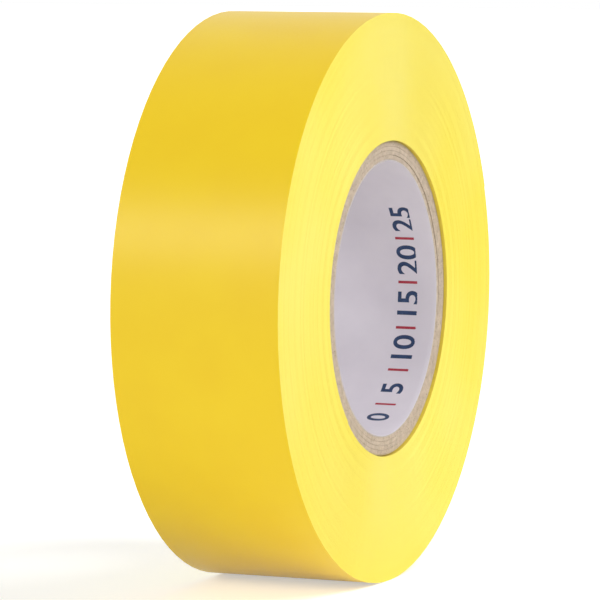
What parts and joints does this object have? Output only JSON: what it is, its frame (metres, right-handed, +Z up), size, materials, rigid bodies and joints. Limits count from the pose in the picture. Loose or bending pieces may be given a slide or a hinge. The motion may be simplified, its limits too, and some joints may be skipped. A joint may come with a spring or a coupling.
{
  "type": "electrical tape roll",
  "caption": "Roll of yellow PVC electrical tape wound on a laminated paper core, with a free end that peels off.",
  "frame": {"origin": "centre of the core's bore, halfway across the tape's width", "axes": "+Y along the bore's axis, +Z up as the roll stands on its rim; the tape's free end lies on the +X side"},
  "size_m": [0.0811, 0.025, 0.0812],
  "materials": {
    "pvc_film": "satin",
    "adhesive": "tacky",
    "chipboard": "cut fibre",
    "kraft_paper": "matte",
    "liner_paper": "coated, semi-gloss"
  },
  "bodies": {
    "roll": {"core_liner": "liner_paper", "core_ply_1": "chipboard", "core_ply_2": "chipboard", "core_ply_3": "chipboard", "core_ply_4": "chipboard", "core_wrap": "kraft_paper", "tape_winding": "pvc_film"},
    "free_end_1": {"free_end_film_1": "pvc_film", "free_end_adhesive_1": "adhesive"},
    "free_end_2": {"free_end_film_2": "pvc_film", "free_end_adhesive_2": "adhesive"},
    "free_end_3": {"free_end_film_3": "pvc_film", "free_end_adhesive_3": "adhesive"},
    "free_end_4": {"free_end_film_4": "pvc_film", "free_end_adhesive_4": "adhesive"},
    "free_end_5": {"free_end_film_5": "pvc_film", "free_end_adhesive_5": "adhesive"},
    "free_end_6": {"free_end_film_6": "pvc_film", "free_end_adhesive_6": "adhesive"}
  },
  "joints": [
    {"name": "end_peel", "type": "hinge", "parent": "roll", "child": "free_end_1", "pos_m": [0.01908, 0, 0.03589], "axis": [0, -1, 0], "range_deg": [0, 50]},
    {"name": "end_curl_2", "type": "hinge", "parent": "free_end_1", "child": "free_end_2", "pos_m": [0.02334, 0, 0.03328], "axis": [0, -1, 0], "range_deg": [0, 9]},
    {"name": "end_curl_3", "type": "hinge", "parent": "free_end_2", "child": "free_end_3", "pos_m": [0.02725, 0, 0.03016], "axis": [0, -1, 0], "range_deg": [0, 9]},
    {"name": "end_curl_4", "type": "hinge", "parent": "free_end_3", "child": "free_end_4", "pos_m": [0.03075, 0, 0.02659], "axis": [0, -1, 0], "range_deg": [0, 9]},
    {"name": "end_curl_5", "type": "hinge", "parent": "free_end_4", "child": "free_end_5", "pos_m": [0.03378, 0, 0.02261], "axis": [0, -1, 0], "range_deg": [0, 9]},
    {"name": "end_curl_6", "type": "hinge", "parent": "free_end_5", "child": "free_end_6", "pos_m": [0.0363, 0, 0.0183], "axis": [0, -1, 0], "range_deg": [0, 9]}
  ],
  "couplings": [
    {"joint": "end_curl_2", "follows": "end_peel", "ratio": 0.18},
    {"joint": "end_curl_3", "follows": "end_peel", "ratio": 0.18},
    {"joint": "end_curl_4", "follows": "end_peel", "ratio": 0.18},
    {"joint": "end_curl_5", "follows": "end_peel", "ratio": 0.18},
    {"joint": "end_curl_6", "follows": "end_peel", "ratio": 0.18}
  ]
}
